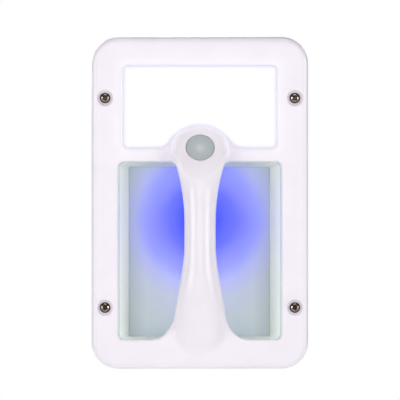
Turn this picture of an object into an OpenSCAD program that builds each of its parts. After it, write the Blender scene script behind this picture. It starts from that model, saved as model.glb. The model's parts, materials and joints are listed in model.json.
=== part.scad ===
// Recessed grab handle with a lit panel above the pocket, fixed through the face to a wall.
// Millimetres. X is right, Z is up and the face looks along -Y. The wall's surface is Y = 0,
// and the four fixing screws are centred on the origin.

/* [Face] */
// Width of the face
body_w = 154; // [150:1:160]
// Height of the face
body_h = 236; // [230:1:250]
// How far the face stands off the wall
face_out = 10; // [9:0.5:12]
// Radius of the face's four corners
corner_r = 19; // [12:0.5:24]
// Radius of the rounded front edge
edge_r = 4; // [2:0.5:5]
// Thickness of the moulding's front skin
skin = 3; // [2.5:0.1:3.5]
// Thickness of the foam gasket on the wall
gasket_t = 1.5; // [1:0.1:2]

/* [Fixing screws] */
// Distance between the screws, across
screw_gap_x = 135; // [134:0.5:138]
// Distance between the screws, upright
screw_gap_z = 149; // [130:1:170]
// Diameter of the screw's thread
screw_d = 4; // [3.5:0.5:4]
// Diameter of the screw's head
screw_head_d = 8; // [7.5:0.1:8.4]
// Length of thread past the wall's surface
screw_reach = 16; // [10:1:30]

/* [Pocket] */
// Width of the pocket at the face
pocket_w = 117; // [110:0.5:118]
// Top edge of the pocket at the face
pocket_top = 29.4; // [27:0.2:30]
// Bottom edge of the pocket at the face
pocket_bottom = -97.4; // [-98:0.2:-90]
// Depth of the pocket below the face
pocket_depth = 38; // [32:1:40]
// How far each side wall leans in over the depth
side_lean = 7.6; // [4:0.2:9]
// How far the top wall leans in over the depth
top_lean = 3.4; // [2:0.2:5]
// How far the bottom wall leans in over the depth
bottom_lean = 1.4; // [1:0.2:5]
// Radius of the pocket's corners
pocket_r = 4.3; // [3:0.1:6]

/* [Light panel] */
// Half of the panel's width
panel_half = 54.6; // [50:0.2:55]
// Bottom edge of the panel
panel_bottom = 39; // [38.6:0.2:42]
// Top edge of the panel
panel_top = 97.6; // [92:0.2:100]
// Radius of the bay that clears the handle's head
bay_r = 27.8; // [26:0.1:29]
// Height of the bay's centre
bay_z = 28.65; // [28:0.05:29]

/* [Grip] */
// Half of the grip's width at its waist
waist_half = 11.1; // [10:0.1:12]
// Radius of the head round the button
head_r = 19.3; // [18.5:0.1:20]
// Height of the head's centre
head_z = 34; // [33:0.5:35]
// Radius of the foot
foot_r = 19.6; // [18:0.1:21]
// Height of the foot's centre
foot_z = -90.4; // [-92:0.2:-88]
// How far the grip's crest stands off the face
crest_out = 16; // [14:0.5:18]
// Slope of the head, in degrees
head_tilt = 26; // [20:1:28]
// Slope of the foot, in degrees
foot_tilt = 18; // [14:1:22]

/* [Button] */
// Diameter of the button's cap
cap_d = 20; // [18:0.1:20.4]
// Height of the button's centre
cap_z = 39.5; // [39:0.1:40]
// Travel of the button
cap_travel = 1; // [0.6:0.1:1]

/* [Hidden] */
$fn = 64;

face_y = -face_out;
skin_y = face_y + skin;
back_y = -gasket_t;
fit_gap = 0.1;
screw_gap = 0.05;
past = 1;

screw_x = screw_gap_x / 2;
screw_z = screw_gap_z / 2;
screw_r = screw_d / 2;
dish_d = 10.7;
dish_depth = 1.6;
recess_turns = [12, 38, 63, 21];

wall_t = 3;
rim_t = 2.5;
boss_r = 6.9;
small_boss_r = 3.4;
small_thread_r = 1.25;
small_pass_r = 1.4;

gasket_half = 63.5;
gasket_reach = 104.5;

tub_t = 2.2;
tub_flange_t = 2;
tub_flange_half = 62;
tub_flange_top = 36;
tub_flange_bottom = -103.8;
tub_lower_screws = [[-40, -101.6], [0, -101.6], [40, -101.6]];
tub_upper_screws = [[-45, 33.2], [45, 33.2]];

panel_r = 3.5;
bay_fillet = 5;
bay_fillet_z = panel_bottom + bay_fillet;
bay_fillet_x = sqrt(pow(bay_r + bay_fillet, 2) - pow(bay_fillet_z - bay_z, 2));

lens_y = face_y + 0.5;
lens_flange_t = 1.6;
lens_gasket_t = 0.5;
box_front_y = skin_y + lens_flange_t + lens_gasket_t;
led_board_y = 6.4;
led_board_t = 1.6;
shelf_t = 2;
shelf_y = led_board_y + led_board_t;
box_back_y = 12;
cover_front_y = 13;
cover_floor_y = 29;
cover_back_y = 31;
box_wall = 1.5;
ear_x = 60;
ear_zs = [55, 90];
cover_post_x = 50.8;
cover_post_zs = [43.8, 93.6];

part_y = face_y + 1;
grip_wall = 2.5;
grip_back_wall = 1.8;
grip_cover_y = part_y + fit_gap;
grip_back_y = -3;
grip_back_flat = 0.68;
grip_rings = 40;
grip_back_rings = 30;
grip_cover_low = pocket_bottom + 1.4;
grip_cover_high = pocket_top - 2.6;
flare_top = -14;
flare_bottom = -29;
flare_bottom_end = -98;
crest_blend = 6;
root_r_high = 3.5;
root_r_low = 12;
foot_out = 1;
grip_screw_zs = [-80, -48, 16];
grip_post_r = 3;

head_skin = 2.5;
cap_sink = 0.5;
cap_r = cap_d / 2;
cap_hole_r = cap_r + 0.2;
cap_flange_r = 11.7;
carrier_bore_r = 12.1;
carrier_r = 13.6;
cap_out = 8.7;
cap_y = face_y - cap_out;
plunger_end = -9.9;
button_board_z = -12.4;
button_board_t = 1.2;
head_bore_z = button_board_z - button_board_t - 0.6;

board_y = 20;
board_t = 1.6;
board_half = 38;
board_z = 78;
board_h = 36;
board_screw_xz = [34.5, 14.5];
gland_x = -45.5;
gland_z = 70;
gland_bore_r = 3.2;
gland_body_r = 5.9;
gland_thread_r = 5.5;
panel_wire_xs = [18.8, 21.2];
panel_wire_z = 58;
button_wire_x = -3;

blue_z = -11.5;
blue_board_y = -6.6;
blue_board_t = 1.2;

// ---- Helpers ----

// Carries a flat shape, drawn as X and Z, from one Y to another.
module slab(y0, y1) {
    translate([0, y1, 0]) rotate([90, 0, 0]) linear_extrude(y1 - y0) children();
}

// A round pin along Y.
module pin(x, z, r, y0, y1) {
    translate([x, y1, z]) rotate([90, 0, 0]) cylinder(r = r, h = y1 - y0);
}

// A block between two corners.
module block(low, high) {
    translate(low) cube(high - low);
}

// A rectangle with round corners, from its limits.
module round_rect(x0, x1, z0, z1, r) {
    translate([x0 + r, z0]) square([x1 - x0 - 2 * r, z1 - z0]);
    translate([x0, z0 + r]) square([x1 - x0, z1 - z0 - 2 * r]);
    for (x = [x0 + r, x1 - r], z = [z0 + r, z1 - r]) translate([x, z]) circle(r);
}

// The face's outline, drawn in by d.
module face_outline(d) {
    round_rect(d - body_w / 2, body_w / 2 - d, d - body_h / 2, body_h / 2 - d, corner_r - d);
}

// The corner between the panel's bottom edge and its bay.
module bay_corner(d) {
    share = bay_r / (bay_r + bay_fillet);
    touch = [bay_fillet_x * share, bay_z + (bay_fillet_z - bay_z) * share];
    difference() {
        polygon([
            [bay_fillet_x - 9, panel_bottom - d - 1], [bay_fillet_x, panel_bottom - d - 1],
            [bay_fillet_x, bay_fillet_z], touch]);
        translate([bay_fillet_x, bay_fillet_z]) circle(bay_fillet + d);
    }
}

// The light panel's outline, grown by d all round.
module panel_outline(d) {
    difference() {
        round_rect(
            -panel_half - d, panel_half + d, panel_bottom - d, panel_top + d, panel_r + d);
        translate([0, bay_z]) circle(bay_r - d);
        bay_corner(d);
        mirror([1, 0]) bay_corner(d);
    }
}

// The pocket's space from one Y to another, grown by d on every side.
module pocket_space(d, y0, y1) {
    side_rate = side_lean / pocket_depth;
    top_rate = top_lean / pocket_depth;
    bottom_rate = bottom_lean / pocket_depth;
    half0 = pocket_w / 2 + d - (y0 - face_y) * side_rate;
    half1 = pocket_w / 2 + d - (y1 - face_y) * side_rate;
    top0 = pocket_top + d - (y0 - face_y) * top_rate;
    top1 = pocket_top + d - (y1 - face_y) * top_rate;
    bottom0 = pocket_bottom - d + (y0 - face_y) * bottom_rate;
    bottom1 = pocket_bottom - d + (y1 - face_y) * bottom_rate;
    intersection() {
        slab(y0, y1)
            round_rect(-half0, half0, bottom0, top0, pocket_r + d);
        translate([0, 0, pocket_bottom - 20])
            linear_extrude(pocket_top - pocket_bottom + 40)
                polygon([[-half0, y0], [half0, y0], [half1, y1], [-half1, y1]]);
        translate([-body_w / 2, 0, 0]) rotate([90, 0, 90]) linear_extrude(body_w)
            polygon([[y0, bottom0], [y0, top0], [y1, top1], [y1, bottom1]]);
    }
}

// ---- The grip's shape ----

function smooth(t) = let (u = min(max(t, 0), 1)) u * u * (3 - 2 * u);
function soft_min(a, b, k) = min(a, b) - pow(max(k - abs(a - b), 0), 2) / (4 * k);

// Half of the grip's width at height z.
function bar_half(z) =
    z > flare_top
        ? waist_half + (head_r - waist_half) * pow((z - flare_top) / (head_z - flare_top), 2)
        : waist_half
            + (foot_r - waist_half)
                * smooth((flare_bottom - z) / (flare_bottom - flare_bottom_end));
function disc_half(z, middle, r) = sqrt(max(r * r - pow(z - middle, 2), 0.04));
function grip_half(z) =
    z > head_z ? disc_half(z, head_z, head_r)
    : z < foot_z ? min(bar_half(z), disc_half(z, foot_z, foot_r))
    : bar_half(z);

// How far the crest stands off the face at height z.
function crest(z) =
    let (
        head = cap_out + (cap_z - z) * tan(head_tilt),
        foot = foot_out + (z - foot_z + foot_r) * tan(foot_tilt))
    soft_min(soft_min(crest_out, head, crest_blend), foot, crest_blend);

// The share of the crest's height left near the ends, where it rounds down to the face.
function end_share(z) =
    let (
        up = max((z - head_z) / head_r, 0),
        down = max((foot_z - z) / foot_r, 0))
    sqrt(max(1 - pow(max(up, down), 10), 0.02));

// The flat part of the section, as a share of its half width.
function flat_share(z) = 0.48 + 0.22 * smooth((z - 5) / 25);

// Half a section: from the side at the parting plane, over the shoulder, to the middle.
function half_section(half, flat, depth) = [
    for (a = [0:15:90]) [flat + (half - flat) * cos(a), depth * sin(a)]];

// A bar through the heights zs whose sections lie on the plane at y, towards -Y if side is -1.
module bar(zs, y, side, halves, flats, depths) {
    rings = len(zs);
    sides = len(half_section(1, 0.5, 1));
    count = 2 * sides;
    points = [
        for (i = [0:rings - 1])
            let (section = half_section(halves[i], flats[i], depths[i]))
            each [
                for (p = section) [p[0], y + side * p[1], zs[i]],
                for (k = [sides - 1:-1:0]) [-section[k][0], y + side * section[k][1], zs[i]]]];
    quads = [
        for (i = [0:rings - 2], k = [0:count - 1])
            let (a = i * count + k, b = i * count + (k + 1) % count)
            [a, a + count, b + count, b]];
    low = [for (k = [0:count - 1]) k];
    high = [for (k = [count - 1:-1:0]) (rings - 1) * count + k];
    faces = concat(quads, [low, high]);
    flipped = [for (f = faces) [for (k = [len(f) - 1:-1:0]) f[k]]];
    polyhedron(points, side < 0 ? flipped : faces);
}

// Heights from z0 to z1 that crowd towards both ends.
function ring_zs(z0, z1, rings) = [
    for (i = [0:rings - 1]) (z0 + z1) / 2 - (z1 - z0) / 2 * cos(180 * i / (rings - 1))];

// The front half of the grip, drawn in by d.
module grip_front(d, z0, z1, rings) {
    zs = ring_zs(z0, z1, rings);
    bar(
        zs, part_y, -1,
        [for (z = zs) grip_half(z) - d],
        [for (z = zs) (grip_half(z) - d) * flat_share(z)],
        [for (z = zs) crest(z) * end_share(z) + part_y - face_y - d]);
}

// The back half of the grip, drawn in by d.
module grip_back(d, z0, z1, rings) {
    zs = ring_zs(z0, z1, rings);
    bar(
        zs, grip_cover_y, 1,
        [for (z = zs) bar_half(z) - d],
        [for (z = zs) (bar_half(z) - d) * grip_back_flat],
        [for (z = zs) grip_back_y - grip_cover_y - d]);
}

// The back half's outline as a flat shape, grown by d.
module grip_back_plan(d, z0, z1) {
    zs = ring_zs(z0, z1, grip_back_rings);
    last = grip_back_rings - 1;
    polygon([
        for (z = zs) [bar_half(z) + d, z],
        for (i = [last:-1:0]) [-bar_half(zs[i]) - d, zs[i]]]);
}

// The corner between the grip and the pocket's edge, filled with a radius.
module root_fillet(half, z, r, up) {
    for (side = [-1, 1]) scale([side, 1]) difference() {
        translate([0, up > 0 ? z - r : z]) square([half + r, r]);
        translate([half + r, up > 0 ? z - r : z + r]) circle(r);
    }
}

// ---- The button's own frame: +Z out of the head, zero at the head's surface ----

module on_head() {
    translate([0, cap_y, cap_z]) rotate([90 - head_tilt, 0, 0]) children();
}

module head_pin(r, low, high) {
    on_head() translate([0, 0, low]) cylinder(r = r, h = high - low);
}

// ---- Screws ----

// A cross recess, as deep as h, at the top of a head that faces +Z.
module cross_recess(size, width, h, turn) {
    rotate([0, 0, turn]) {
        translate([-size / 2, -width / 2, -h]) cube([size, width, h + past]);
        translate([-width / 2, -size / 2, -h]) cube([width, size, h + past]);
    }
}

// A small pan-head screw whose head stands at y and whose shank runs to -Y.
module small_screw(x, z, r, y, length) {
    head_h = 1.3 * r;
    translate([x, y, z]) rotate([-90, 0, 0]) difference() {
        union() {
            cylinder(r = 1.8 * r, h = head_h);
            translate([0, 0, -length]) cylinder(r = r, h = length + 0.1);
        }
        translate([0, 0, head_h]) cross_recess(2.2 * r, 0.5 * r, 0.8 * r, 30);
    }
}

// ---- Wires ----

function unit(v) = v / norm(v);
function spline(a, b, c, d, t) =
    0.5 * (2 * b + (c - a) * t + (2 * a - 5 * b + 4 * c - d) * t * t
        + (3 * b - a - 3 * c + d) * t * t * t);
function route(p, steps) = [
    for (i = [0:len(p) - 2], s = [0:steps - 1])
        spline(p[max(i - 1, 0)], p[i], p[i + 1], p[min(i + 2, len(p) - 1)], s / steps),
    p[len(p) - 1]];

// A round wire along points chosen by hand.
module wire(points, r) {
    path = route(points, 4);
    last = len(path) - 1;
    sides = 8;
    rings = [
        for (i = [0:last])
            let (
                along = unit(path[min(i + 1, last)] - path[max(i - 1, 0)]),
                across = unit(cross(along, [1, 0.02, 0.01])),
                up = cross(along, across))
            each [
                for (k = [0:sides - 1])
                    path[i] + r * (cos(360 * k / sides) * across + sin(360 * k / sides) * up)]];
    skin_faces = [
        for (i = [0:last - 1], k = [0:sides - 1])
            let (a = i * sides + k, b = i * sides + (k + 1) % sides)
            [a, a + sides, b + sides, b]];
    low = [for (k = [0:sides - 1]) k];
    high = [for (k = [sides - 1:-1:0]) last * sides + k];
    polyhedron(rings, concat(skin_faces, [low, high]));
}

// ---- Mouldings ----

module frame_blank() {
    intersection() {
        slab(face_y, back_y) face_outline(0);
        translate([0, 0, -body_h / 2]) linear_extrude(body_h) edge_profile(body_w / 2);
        translate([-body_w / 2, 0, 0]) rotate([90, 0, 90]) linear_extrude(body_w)
            rotate(-90) edge_profile(body_h / 2);
    }
}

// The frame's section across, with its two front edges rounded.
module edge_profile(half) {
    translate([-half, face_y + edge_r]) square([2 * half, face_out - edge_r]);
    translate([edge_r - half, face_y]) square([2 * (half - edge_r), face_out]);
    for (side = [-1, 1]) translate([side * (half - edge_r), face_y + edge_r]) circle(edge_r);
}

// The pocket's cut through the frame, less the roots of the grip.
module pocket_cut() {
    difference() {
        pocket_space(0, face_y - past, back_y + past);
        slab(face_y - past, back_y + past) {
            root_fillet(bar_half(pocket_top), pocket_top + 0.4, root_r_high, 1);
            root_fillet(foot_r + 0.6, pocket_bottom - 0.4, root_r_low, -1);
        }
    }
}

// The hollow behind the frame's skin.
module frame_hollow() {
    difference() {
        slab(skin_y, back_y + past) face_outline(wall_t);
        pocket_space(rim_t, face_y - past, back_y + past);
        for (x = [-screw_x, screw_x], z = [-screw_z, screw_z])
            pin(x, z, boss_r, face_y, back_y + past);
        for (p = concat(tub_lower_screws, tub_upper_screws))
            pin(p[0], p[1], small_boss_r, face_y, back_y + past);
        for (x = [-ear_x, ear_x], z = ear_zs) pin(x, z, small_boss_r, face_y, back_y + past);
        for (side = [-1, 1], z = [-50, -20, 10])
            translate([side * 66.5 - 8.5, face_y, z]) cube([17, face_out, 1.6]);
    }
}

module front_housing() color("white") {
    difference() {
        union() {
            difference() {
                union() {
                    difference() {
                        frame_blank();
                        frame_hollow();
                        slab(face_y - past, back_y + past) panel_outline(0.15);
                        pocket_cut();
                    }
                    grip_front(0, foot_z - foot_r + 0.1, head_z + head_r - 0.1, grip_rings);
                    intersection() {
                        pin(0, head_z, head_r - 1, face_y + 0.5, back_y);
                        head_pin(carrier_r + 2.2, head_bore_z, 0);
                    }
                }
                grip_front(grip_wall, foot_z + 4, head_z - 6, 30);
            }
            for (z = grip_screw_zs)
                pin(0, z, grip_post_r, face_y - crest(z) + grip_wall - 0.6, part_y);
        }
        slab(part_y, back_y + past)
            grip_back_plan(fit_gap, grip_cover_low - fit_gap, grip_cover_high + fit_gap);
        for (z = grip_screw_zs) pin(0, z, small_thread_r + screw_gap, part_y - 9, part_y + past);
        head_pin(cap_hole_r, -head_skin - past, past + 1);
        head_pin(carrier_r + fit_gap, head_bore_z, -head_skin);
        for (x = [-screw_x, screw_x], z = [-screw_z, screw_z]) {
            pin(x, z, screw_r + 0.3, face_y - past, back_y + past);
            pin(x, z, dish_d / 2, face_y - past, face_y + dish_depth);
        }
        for (p = concat(tub_lower_screws, tub_upper_screws))
            pin(p[0], p[1], small_thread_r + screw_gap, skin_y + 0.8, back_y + past);
        for (x = [-ear_x, ear_x], z = ear_zs)
            pin(x, z, small_thread_r + screw_gap, skin_y + 0.8, back_y + past);
    }
}

module grip_back_cover() color("white") {
    inner_low = grip_cover_low + grip_back_wall;
    inner_high = grip_cover_high - grip_back_wall;
    difference() {
        union() {
            difference() {
                grip_back(0, grip_cover_low, grip_cover_high, grip_back_rings);
                grip_back(grip_back_wall, inner_low, inner_high, 24);
            }
            for (z = grip_screw_zs) pin(0, z, grip_post_r, grip_cover_y, grip_back_y - 1);
            for (z = [blue_z - 20.2, blue_z + 20.2])
                block([-4.5, blue_board_y, z - 0.6], [4.5, grip_back_y - 1.7, z + 0.6]);
        }
        slab(grip_back_y - 3, grip_back_y + past)
            round_rect(-4.2, 4.2, blue_z - 17.2, blue_z + 17.2, 3.6);
        for (z = grip_screw_zs) {
            pin(0, z, small_pass_r, grip_cover_y - past, grip_back_y + past);
            pin(0, z, 2.5, grip_back_y - 1.9, grip_back_y + past);
        }
    }
}

module pocket_tub() color("white") {
    floor_y = face_y + pocket_depth;
    difference() {
        union() {
            pocket_space(tub_t, back_y + fit_gap, floor_y + tub_t);
            slab(back_y + fit_gap, back_y + fit_gap + tub_flange_t)
                round_rect(
                    -tub_flange_half, tub_flange_half, tub_flange_bottom, tub_flange_top, 4);
        }
        pocket_space(0, back_y - past, floor_y);
        for (p = concat(tub_lower_screws, tub_upper_screws))
            pin(p[0], p[1], small_pass_r, back_y - past, back_y + tub_flange_t + past);
    }
}

module light_panel_lens() color("ghostwhite") {
    slab(lens_y, skin_y + lens_flange_t) panel_outline(0);
    slab(skin_y + 0.02, skin_y + lens_flange_t) panel_outline(2);
}

module lens_gasket() color("dimgray")
    slab(skin_y + lens_flange_t, box_front_y) difference() {
        panel_outline(1.5);
        panel_outline(-0.3);
    }

module light_box() color("whitesmoke") {
    difference() {
        union() {
            slab(box_front_y, box_back_y) panel_outline(box_wall);
            slab(back_y + fit_gap, back_y + 3) for (side = [-1, 1], z = ear_zs) {
                translate([side * ear_x, z]) circle(2.9);
                translate([side * (ear_x - 2) - 2, z - 2.9]) square([4, 5.8]);
            }
        }
        slab(box_front_y - past, shelf_y) panel_outline(-0.3);
        slab(shelf_y + shelf_t, box_back_y + past) difference() {
            panel_outline(-0.3);
            for (x = [-cover_post_x, cover_post_x], z = cover_post_zs)
                translate([x, z]) circle(3);
        }
        for (x = [-cover_post_x, cover_post_x], z = cover_post_zs)
            pin(x, z, small_thread_r + screw_gap, shelf_y + 0.4, box_back_y + past);
        for (x = [-ear_x, ear_x], z = ear_zs) pin(x, z, small_pass_r, back_y - past, back_y + 4);
        for (x = panel_wire_xs)
            pin(x, panel_wire_z, 1, shelf_y - past, shelf_y + shelf_t + past);
    }
}

module panel_led_board() color("snow")
    slab(led_board_y, shelf_y) panel_outline(-1.2);

module white_leds() color("lemonchiffon")
    for (x = [-45, -27, -9, 9, 27, 45], z = [50, 69, 88])
        if (z > 60 || abs(x) > 20)
            block([x - 2.5, led_board_y - 1.6, z - 2.5], [x + 2.5, led_board_y, z + 2.5]);

module rear_gasket() color("dimgray")
    slab(box_back_y, cover_front_y) difference() {
        panel_outline(box_wall);
        panel_outline(-0.3);
    }

module rear_cover() color("gainsboro") {
    difference() {
        slab(cover_front_y, cover_back_y) panel_outline(box_wall);
        slab(cover_front_y - past, cover_floor_y) difference() {
            panel_outline(-0.5);
            for (x = [-cover_post_x, cover_post_x], z = cover_post_zs)
                translate([x, z]) circle(3);
        }
        for (x = [-cover_post_x, cover_post_x], z = cover_post_zs) {
            pin(x, z, small_pass_r, cover_front_y - past, cover_back_y + past);
            pin(x, z, 2.6, cover_back_y - 2, cover_back_y + past);
        }
        pin(gland_x, gland_z, gland_body_r + fit_gap, cover_floor_y - past, cover_back_y + past);
        translate([button_wire_x, 17, bay_z]) cylinder(r = 1.6, h = bay_r + 5);
    }
    for (sx = [-1, 1], sz = [-1, 1])
        difference() {
            pin(
                sx * board_screw_xz[0], board_z + sz * board_screw_xz[1], 2.6,
                board_y + board_t, cover_floor_y + 0.5);
            pin(
                sx * board_screw_xz[0], board_z + sz * board_screw_xz[1], 1 + screw_gap,
                board_y, cover_floor_y - 1.5);
        }
}

// ---- Electronics ----

module driver_board() color("darkgreen")
    difference() {
        block(
            [-board_half, board_y, board_z - board_h / 2],
            [board_half, board_y + board_t, board_z + board_h / 2]);
        for (sx = [-1, 1], sz = [-1, 1])
            pin(
                sx * board_screw_xz[0], board_z + sz * board_screw_xz[1], 1.2,
                board_y - past, board_y + board_t + past);
    }

module driver_coil() color("sienna") {
    pin(12, 84, 4, board_y - 5, board_y - 1);
    pin(12, 84, 6, board_y - 1, board_y);
    pin(12, 84, 6, board_y - 6, board_y - 5);
}

module driver_capacitors() color("slategray")
    for (x = [-6, -16]) pin(x, 85, 4, board_y - 7.5, board_y);

module driver_chip() color("black")
    block([-14, board_y - 1.6, 66], [-4, board_y, 73]);

module terminal_block() color("seagreen")
    difference() {
        block([22, board_y - 8, 66], [37, board_y, 74]);
        for (x = [24.5, 29.5, 34.5]) {
            pin(x, 70, 1.6, board_y - 9, board_y - 3);
            translate([x, board_y - 3.2, 65]) cylinder(r = 1.3, h = 6);
        }
    }

// ---- Button ----

module button_cap() color("silver")
    on_head() difference() {
        union() {
            translate([0, 0, -3.6]) cylinder(r = cap_r, h = 3.6 - cap_sink);
            translate([0, 0, -4.8]) cylinder(r = cap_flange_r, h = 1.2);
            translate([0, 0, -6.8]) cylinder(r = 2.2, h = 2.1);
        }
        translate([0, 0, 13.6 - cap_sink]) sphere(14);
        difference() {
            translate([0, 0, -4.9]) cylinder(r = cap_r - 1.5, h = 2.6);
            translate([0, 0, -5]) cylinder(r = 2.2, h = 3);
        }
    }

module switch_plunger() color("dimgray")
    head_pin(1.6, plunger_end, -6.8);

module button_seal() color("gray")
    difference() {
        head_pin(11.9, -3.6, -head_skin);
        head_pin(10.3, -4, -head_skin + past);
    }

module button_carrier() color("white")
    difference() {
        head_pin(carrier_r, button_board_z, -head_skin - fit_gap);
        head_pin(carrier_bore_r, button_board_z - past, -head_skin + past);
    }

module button_board() color("darkgreen")
    head_pin(carrier_r - 0.4, button_board_z - button_board_t, button_board_z);

module button_switch() color("black")
    difference() {
        on_head() translate([-3, -3, button_board_z]) cube([6, 6, 3.5]);
        head_pin(2, plunger_end - cap_travel - 0.3, button_board_z + 5);
    }

// ---- Blue light in the grip ----

module blue_led_board() color("darkgreen")
    block([-5, blue_board_y - blue_board_t, blue_z - 21], [5, blue_board_y, blue_z + 21]);

module blue_leds() color("deepskyblue")
    for (z = [-12, 0, 12])
        block([-2.5, blue_board_y, blue_z + z - 2.5], [2.5, blue_board_y + 1.4, blue_z + z + 2.5]);

module blue_led_lens() color("aliceblue") {
    slab(-4.78, -2.6) round_rect(-4.1, 4.1, blue_z - 17.1, blue_z + 17.1, 3.5);
    slab(-5.1, -4.82) round_rect(-5.6, 5.6, blue_z - 18.6, blue_z + 18.6, 5);
    slab(-4.9, -4.7) round_rect(-4, 4, blue_z - 17, blue_z + 17, 3.4);
}

// ---- Seals and fasteners ----

module wall_gasket() color("dimgray")
    slab(back_y, 0) difference() {
        face_outline(1.5);
        round_rect(-gasket_half, gasket_half, -gasket_reach, gasket_reach, 5);
        for (x = [-screw_x, screw_x], z = [-screw_z, screw_z])
            translate([x, z]) circle(3.4);
    }

module fixing_screw(turn) {
    head_h = 2.4;
    head_y = face_y + dish_depth;
    dome_r = (pow(screw_head_d / 2, 2) + head_h * head_h) / (2 * head_h);
    difference() {
        union() {
            intersection() {
                pin(0, 0, screw_head_d / 2, head_y - head_h, head_y);
                translate([0, head_y - head_h + dome_r, 0]) sphere(dome_r);
            }
            pin(0, 0, screw_r - 0.25, head_y - 0.5, 0.2);
            pin(0, 0, screw_r, 0.2, screw_reach);
        }
        translate([0, head_y - head_h, 0]) rotate([90, 0, 0])
            cross_recess(4.6, 0.9, 1.8, turn);
    }
}

module fixing_screws() color("darkgray")
    for (i = [0:3])
        translate([(i % 2 == 0 ? -1 : 1) * screw_x, 0, (i < 2 ? 1 : -1) * screw_z])
            fixing_screw(recess_turns[i]);

module grip_cover_screws() color("darkgray")
    for (z = grip_screw_zs) small_screw(0, z, 1.25, grip_back_y - 1.85, 11);

module tub_screws() color("darkgray")
    for (p = concat(tub_lower_screws, tub_upper_screws))
        small_screw(p[0], p[1], 1.25, back_y + fit_gap + tub_flange_t, 6.2);

module light_box_screws() color("darkgray")
    for (x = [-ear_x, ear_x], z = ear_zs) small_screw(x, z, 1.25, back_y + 3, 7);

module rear_cover_screws() color("darkgray")
    for (x = [-cover_post_x, cover_post_x], z = cover_post_zs)
        small_screw(x, z, 1.25, cover_back_y - 2, 20.4);

module board_screws() color("darkgray")
    for (sx = [-1, 1], sz = [-1, 1])
        translate([0, 2 * board_y, 0]) mirror([0, 1, 0])
            small_screw(
                sx * board_screw_xz[0], board_z + sz * board_screw_xz[1], 1, board_y, 6);

module cable_gland() color("dimgray")
    difference() {
        union() {
            pin(gland_x, gland_z, gland_body_r, cover_floor_y - 4.5, cover_back_y);
            translate([gland_x, cover_back_y + 4, gland_z]) rotate([90, 0, 0])
                cylinder(r = 8.5, h = 4, $fn = 6);
            pin(gland_x, gland_z, gland_thread_r, cover_back_y + 3.9, cover_back_y + 9);
        }
        pin(gland_x, gland_z, gland_bore_r, cover_floor_y - 6, cover_back_y + 10);
    }

module gland_locknut() color("dimgray")
    difference() {
        translate([gland_x, cover_floor_y, gland_z]) rotate([90, 0, 0])
            cylinder(r = 8, h = 3, $fn = 6);
        pin(gland_x, gland_z, gland_body_r + screw_gap, cover_floor_y - 4, cover_floor_y + past);
    }

module gland_nut() color("dimgray")
    difference() {
        union() {
            translate([gland_x, cover_back_y + 9, gland_z]) rotate([90, 0, 0])
                cylinder(r = 8.2, h = 4.9, $fn = 6);
            translate([gland_x, cover_back_y + 8.9, gland_z]) rotate([-90, 0, 0])
                cylinder(r1 = 7, r2 = 4.8, h = 3.1);
        }
        pin(gland_x, gland_z, gland_thread_r + screw_gap, cover_back_y, cover_back_y + 9.1);
        pin(gland_x, gland_z, gland_bore_r, cover_back_y, cover_back_y + 13);
    }

module panel_wires() color("red")
    for (x = panel_wire_xs)
        wire([[x, 19.9, 66], [x, 17, 65], [x, 14.5, 61], [x, 12.5, 58.4],
            [x, 10, panel_wire_z], [x, 8.05, panel_wire_z]], 0.7);

module button_wires() color("gold")
    for (x = [button_wire_x - 0.8, button_wire_x + 0.8])
        wire([[x, -2.6, 40.5], [x, -0.8, 40.2], [x, 3, 41.5], [x, 9, 45], [x, 14, 49.5],
            [x, 17, 54], [x, 17, 57.5], [x, 18.4, 61.8], [x, 19.9, 62.2]], 0.6);

module grip_wires() color("royalblue")
    for (side = [-1, 1])
        wire([[side * 5, -8.4, 24.6], [side * 5.4, -8.2, 22.4], [side * 5.6, -10, 19],
            [side * 5.6, -11.5, 15], [side * 4.6, -11.2, 11.5], [side * 2.6, -9.9, 8.6],
            [side * 2.2, -8.9, 7.7], [side * 2.2, -7.9, 7.6]], 0.6);

front_housing();
grip_back_cover();
pocket_tub();
light_panel_lens();
lens_gasket();
light_box();
panel_led_board();
white_leds();
rear_gasket();
rear_cover();
driver_board();
driver_coil();
driver_capacitors();
driver_chip();
terminal_block();
button_cap();
switch_plunger();
button_seal();
button_carrier();
button_board();
button_switch();
blue_led_board();
blue_leds();
blue_led_lens();
wall_gasket();
fixing_screws();
grip_cover_screws();
tub_screws();
light_box_screws();
rear_cover_screws();
board_screws();
cable_gland();
gland_locknut();
gland_nut();
panel_wires();
button_wires();
grip_wires();
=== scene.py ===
import math

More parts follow.
